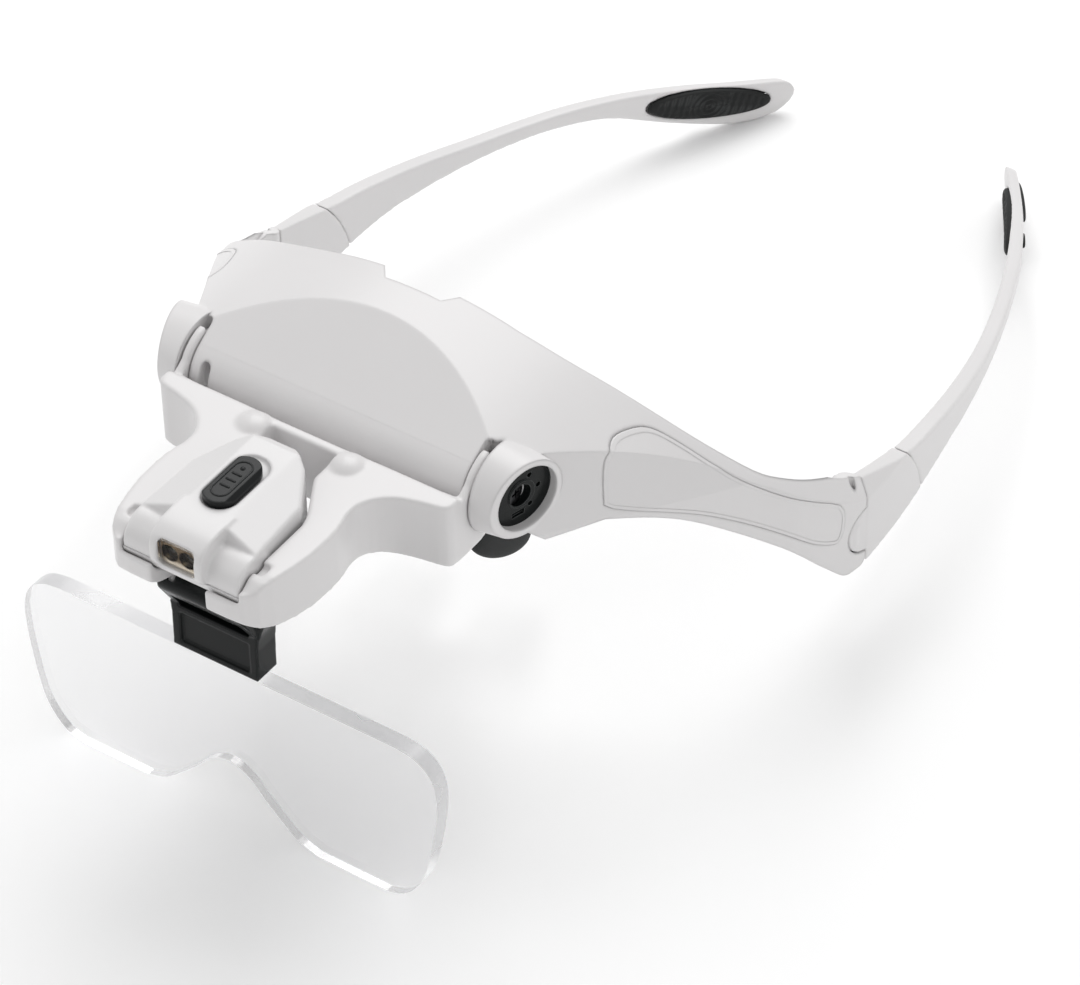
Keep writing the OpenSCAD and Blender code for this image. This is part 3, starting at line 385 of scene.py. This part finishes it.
def clear(name, colour, waves=0.0, frost=0.0, bend=1.49):
    """A clear moulded plastic: smooth, with faint waves in the surface and a tint at the skin.

    Faces that don't look along Y are the tumbled edges, and get the frost as added roughness. Shadow
    rays, and rays that have already met five surfaces, pass straight through, so no light is caught
    inside.
    """
    material, output = new_material(name)
    tree = material.node_tree
    paler = [min(1, 1.02 * c) for c in colour]
    most_depth = 4.5
    coordinates = add(tree, "TexCoord").outputs
    where = coordinates["Object"]
    flow = add(tree, "TexNoise", Vector=where, Scale=45.0, Detail=1.0)
    soft = add(tree, "Bump", Strength=waves, Distance=0.0005, Height=flow.outputs["Fac"])
    haze = add(tree, "TexNoise", Vector=where, Scale=300.0, Detail=3.0)
    drift = add(tree, "MapRange", Value=haze.outputs["Fac"], To_Min=0.0, To_Max=0.03)
    facing = add(tree, "SeparateXYZ", Vector=coordinates["Normal"])
    size = add(tree, "Math", {"operation": "ABSOLUTE"}, i0=facing.outputs["Y"])
    tumbled = add(tree, "MapRange", Value=size.outputs[0], From_Min=0.9, From_Max=0.5, To_Min=0.0,
                  To_Max=frost)
    streaks = add(tree, "TexNoise", Vector=where, Scale=70.0, Detail=1.0)
    uneven = add(tree, "MapRange", Value=streaks.outputs["Fac"], From_Min=0.3, From_Max=0.7, To_Min=0.6,
                 To_Max=1.2)
    rubbed = add(tree, "Math", {"operation": "MULTIPLY"}, i0=tumbled.outputs[0], i1=uneven.outputs[0])
    dull = add(tree, "Math", {"operation": "ADD"}, i0=drift.outputs[0], i1=rubbed.outputs[0])
    tone = add(tree, "Mix", {"data_type": "RGBA"}, Factor=haze.outputs["Fac"], i6=(*colour, 1),
               i7=(*paler, 1))
    body = add(tree, "BsdfPrincipled", Base_Color=tone.outputs[2], Roughness=dull.outputs[0], IOR=bend,
               Transmission_Weight=1.0, Normal=soft.outputs[0])
    through = add(tree, "BsdfTransparent", Color=(0.93, 0.93, 0.935, 1))
    path = add(tree, "LightPath").outputs
    caught = add(tree, "Math", {"operation": "GREATER_THAN"}, i0=path["Ray Depth"], i1=most_depth)
    straight = add(tree, "Math", {"operation": "MAXIMUM"}, i0=path["Is Shadow Ray"], i1=caught.outputs[0])
    mixed = add(tree, "MixShader", i0=straight.outputs[0], i1=body.outputs[0], i2=through.outputs[0])
    tree.links.new(mixed.outputs[0], output.inputs[0])
    return material


finish_node("leds", clear("diode epoxy", (0.93, 0.88, 0.76), bend=1.35))
finish_node("led_window", clear("window pane", (0.97, 0.955, 0.93), bend=1.12))

# Innards of the diodes, seen through the domes: a small silvered cup with a pale phosphor bead over it,
# set near the dome's tip so that, magnified, it also serves as a painted highlight. A smoked collar lies
# round each dome, and the plated rim of its socket round that.
silver_cup = metal("silvered cup", (0.62, 0.58, 0.50), (0.86, 0.82, 0.74), rough=0.12,
                   direction=(1.0, 1.0, 1.0), scale=300.0, grain=0.0)
phosphor_highlight = moulding("phosphor_highlight", (0.86, 0.80, 0.56), (0.92, 0.87, 0.66), (0.95, 0.92, 0.8), rough=0.5,
                    rounding=0.0001, grain=0.2)
smoked = moulding("smoked collar", (0.020, 0.015, 0.010), (0.045, 0.034, 0.022), (0.30, 0.25, 0.18),
                  rough=0.25, rounding=0.0001, grain=0.1)


def turned(centre, profile, columns=40):
    """A closed solid of revolution about an axis along Y.

    The profile lists pairs of the way back from the centre and the radius, which is 0 at both ends.
    """
    profile = np.array(profile)
    a = np.linspace(0, 2 * math.pi, columns, endpoint=False)[None, :]
    back, radius = profile[1:-1, :1], profile[1:-1, 1:]
    rings = np.stack([radius * np.cos(a), back + 0 * a, radius * np.sin(a)], -1).reshape(-1, 3)
    points = np.vstack([rings, [[0, profile[0, 0], 0], [0, profile[-1, 0], 0]]]) + np.array(centre)
    return points, shell_faces(len(profile) - 2, columns)


def wire_faces(turns, sides, flip=False):
    """Quads of a closed loop of wire, where point j of section i stands at i times sides plus j."""
    i, j = np.meshgrid(np.arange(turns), np.arange(sides), indexing="ij")
    here, there, beside = i * sides, (i + 1) % turns * sides, (j + 1) % sides
    quads = np.stack([here + j, here + beside, there + beside, there + j], -1).reshape(-1, 4)
    return [quads[:, [0, 3, 2, 1]] if flip else quads]


def hoop(centre, major, minor, turns=64, sides=12):
    """A round wire bent to a circle about an axis along Y: the minor circle swept round the major one."""
    a = np.linspace(0, 2 * math.pi, turns, endpoint=False)[:, None]
    b = np.linspace(0, 2 * math.pi, sides, endpoint=False)[None, :]
    reach = major + minor * np.cos(b)
    points = np.stack([reach * np.cos(a), minor * np.sin(b) + 0 * a, reach * np.sin(a)], -1)
    return points.reshape(-1, 3) + np.array(centre), wire_faces(turns, sides)


low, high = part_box("leds")
diode_radius = (high[2] - low[2]) / 2
diode_x = high[0] - diode_radius
diode_z = low[2] + diode_radius
dome_tip = low[1]
cup_profile = [(0.0009, 0), (0.0009, 0.0005), (0.0001, 0.0012), (0, 0.0013), (0.0001, 0.0014),
               (0.0013, 0.0008), (0.0013, 0)]
bead_profile = [(-0.0022, 0), (-0.0021, 0.0003), (-0.0019, 0.00045), (-0.0017, 0)]
# The phosphor bead sits near the dome's tip, where it also serves as a painted highlight.
cup_y, highlight_bead_y = dome_tip + 0.002445, dome_tip + 0.003245
rim_y, collar_y = dome_tip + 0.001295, dome_tip + 0.000965
for side, x in (("left", -diode_x), ("right", diode_x)):
    points, faces = turned((x, cup_y, diode_z), cup_profile)
    mesh_piece("diode_cup_" + side, points, faces, silver_cup, "lamp")
    points, faces = turned((x, highlight_bead_y, diode_z), bead_profile)
    mesh_piece("diode_phosphor_" + side, points, faces, phosphor_highlight, "lamp")
    points, faces = hoop((x, rim_y, diode_z), major=0.00198, minor=0.00012)
    mesh_piece("diode_rim_" + side, points, faces, silver_cup, "lamp")
    points, faces = hoop((x, collar_y, diode_z), major=0.00158, minor=0.00028)
    mesh_piece("diode_collar_" + side, points, faces, smoked, "lamp")

# Switch: a black moulded thumb slider that runs in a recess of the lamp's roof. Its grip is a low bead
# round its top, three cross ribs and a small dome, all moulded in one with it.
slider_black = moulding("slider plastic", (0.007, 0.008, 0.008), (0.013, 0.014, 0.015),
                        (0.10, 0.105, 0.105), rough=0.24, rounding=0.00035, grain=0.10, shine=0.2)
soften("switch_slider", voxel=0.00012, passes=8)
finish_node("switch_slider", slider_black)


def track(centre, half, reach, radius, turns=96, sides=14):
    """A round bead run round a racetrack: two straights along Y joined by half circles, at one height.

    The half circles have the given half width, the straights run reach to each side, and the bead's
    section is a circle of the given radius.
    """
    a = np.linspace(0, 2 * math.pi, turns, endpoint=False)
    middle = np.stack([half * np.cos(a), half * np.sin(a) + reach * np.sign(np.sin(a)), 0 * a], -1)
    out = np.stack([np.cos(a), np.sin(a), 0 * a], -1)
    b = np.linspace(0, 2 * math.pi, sides, endpoint=False)[None, :, None]
    points = middle[:, None] + radius * (np.cos(b) * out[:, None] + np.sin(b) * np.array([0, 0, 1.0]))
    return points.reshape(-1, 3) + np.array(centre), wire_faces(turns, sides, flip=True)


low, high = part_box("switch_slider")
grip_y = (low[1] + high[1]) / 2
grip_z = high[2]
points, faces = track((0, grip_y, grip_z), half=0.0020, reach=0.0036, radius=0.00022)
mesh_piece("slider_bead", points, faces, slider_black, "switch")
rib_half, first_rib_y, rib_pitch = (0.0012, 0.0003, 0.00026), grip_y - 0.0024, 0.0020
for number in (1, 2, 3):
    rib_y = first_rib_y + rib_pitch * (number - 1)
    points, faces = pillow((0, rib_y, grip_z), rib_half, 0, rows=16, columns=24, square=5.0)
    mesh_piece("slider_rib_%d" % number, points, faces, slider_black, "switch")
dome_y, dome_half = grip_y + 0.0036, (0.00055, 0.00055, 0.0003)
points, faces = pillow((0, dome_y, grip_z), dome_half, 0, rows=16, columns=24, square=2.0)
mesh_piece("slider_dome", points, faces, slider_black, "switch")

# Lens clip: one black satin moulding that snaps onto the lens arm's pin. A slot in its foot grips the tab
# of the lens by friction.
soften("lens_clip", voxel=0.00022, passes=8)
finish_node("lens_clip", black_shell)

# Lens: one clear acrylic moulding with polished faces and a notch for the nose. Tumbling leaves its edges
# broken by a small radius and slightly frosted.
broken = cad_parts["magnifier_lens"].modifiers.new("broken edges", "BEVEL")
broken.width = 0.0004
broken.segments = 3
broken.limit_method = "ANGLE"
broken.angle_limit = math.radians(40)
finish_node("magnifier_lens", clear("clear acrylic", (0.918, 0.918, 0.922), waves=0.02, frost=0.3))

# Side arms: springy white mouldings, each plugged by a hidden tongue into its hinge block, which turns on
# the hinge pin. The mould leaves every edge well rounded.
for side in ("left", "right"):
    soften("hinge_block_" + side, voxel=0.00025, passes=8)
    soften("temple_arm_" + side, voxel=0.0003, passes=26)
    finish_node("hinge_block_" + side, white_shell)
    finish_node("temple_arm_" + side, white_shell)

# Ear pads: soft black elastomer ovals pressed into each side arm. The inner one has rings round its
# middle and ribs across its ends. Two small plain ones sit on the outer side of the tip.


def arm_pad(centre, half, turn, arc, proud, ribbed, inward, sign, rows=52, columns=232):
    """A closed oval pad on a side arm's face, which is an arc in plan with a centre and a radius.

    With s from the middle to the rim and a round it, the place on the face is s times the turned ellipse,
    and the height is proud times the square root of 1 - s to the 8th. Where ribbed, a cosine of the
    distance from the middle sinks rings, and a cosine of the way along sinks ribs at the ends; both fade
    out at the rim. The height is laid off along the radius of the arm's arc, and the back is flat and
    lies in the arm.
    """
    back = 0.0005
    s = np.linspace(0, 1, rows)[1:, None]
    a = np.linspace(0, 2 * math.pi, columns, endpoint=False)[None, :]
    u, v = half[0] * s * np.cos(a), half[1] * s * np.sin(a)
    height = proud * np.sqrt(np.clip(1 - s ** 8, 0, 1)) + 0 * a
    if ribbed:
        ring_pitch, rib_pitch, relief = 0.0014, 0.00175, 0.00035
        ribs_from, ribs_full_over = 0.0044, 0.0006
        plain_from, fade_over = 0.93, 0.08
        rings = 0.5 + 0.5 * np.cos(2 * math.pi * np.hypot(u, v) / ring_pitch)
        ribs = 0.5 + 0.5 * np.cos(2 * math.pi * u / rib_pitch)
        ends = np.clip((np.abs(u) - ribs_from) / ribs_full_over, 0, 1)
        fade = np.clip((plain_from - s) / fade_over, 0, 1)
        height -= relief * np.where(ends > 0, ribs * ends, rings) * fade
    narrower = 0.97
    u, v = np.vstack([u, narrower * u[-1:]]), np.vstack([v, narrower * v[-1:]])
    height = np.vstack([height, np.full((1, columns), -back)])
    poles = np.array([[0, 0, height[0].mean()], [0, 0, -back]])
    flat = np.vstack([np.stack([u, v, height], -1).reshape(-1, 3), poles])
    along = centre[0] + flat[:, 0] * math.cos(turn) - flat[:, 1] * math.sin(turn)
    up = centre[1] + flat[:, 0] * math.sin(turn) + flat[:, 1] * math.cos(turn)
    arc_x, arc_y, arc_radius = arc
    swing = np.arcsin((along - arc_y) / arc_radius)
    reach = arc_radius - inward * flat[:, 2]
    points = np.stack([sign * (arc_x + reach * np.cos(swing)), arc_y + reach * np.sin(swing), up], -1)
    return points, shell_faces(rows, columns, flip=sign * inward > 0)


def fit_pad(name, points, faces, side, stands_for):
    """A soft black pad on a side arm, in place of its plain CAD solid."""
    pad = mesh_piece(name + side, points, faces, rubber, "temple_" + side)
    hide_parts(stands_for + side)


# Arcs of the arm's two faces in plan: x and y of the centre, and the radius.
inner_face, outer_face = (-0.165, -0.00205, 0.240), (-0.157, -0.00205, 0.236)
# Pads: y and z of the middle, and half of the length and of the height.
inner_middle, inner_half = (0.11945, 0.0096), (0.01495, 0.00395)
long_middle, long_half = (0.12835, 0.0086), (0.00895, 0.00145)
short_middle, short_half = (0.12025, 0.0049), (0.00295, 0.00115)
inner_turn, outer_turn = math.radians(-17), math.radians(-15)
for side, sign in (("left", -1), ("right", 1)):
    points, faces = arm_pad(inner_middle, inner_half, inner_turn, inner_face, proud=0.00135, ribbed=True,
                            inward=1, sign=sign)
    fit_pad("ear_cushion_", points, faces, side, "ear_pad_inner_")
    inserts = [arm_pad(middle, half, outer_turn, outer_face, proud=0.00088, ribbed=False, inward=-1,
                       sign=sign, rows=20, columns=96)
               for middle, half in ((long_middle, long_half), (short_middle, short_half))]
    count = len(inserts[0][0])
    points = np.vstack([insert[0] for insert in inserts])
    faces = [part + number * count for number, insert in enumerate(inserts) for part in insert[1]]
    fit_pad("ear_inserts_", points, faces, side, "ear_pad_outer_")
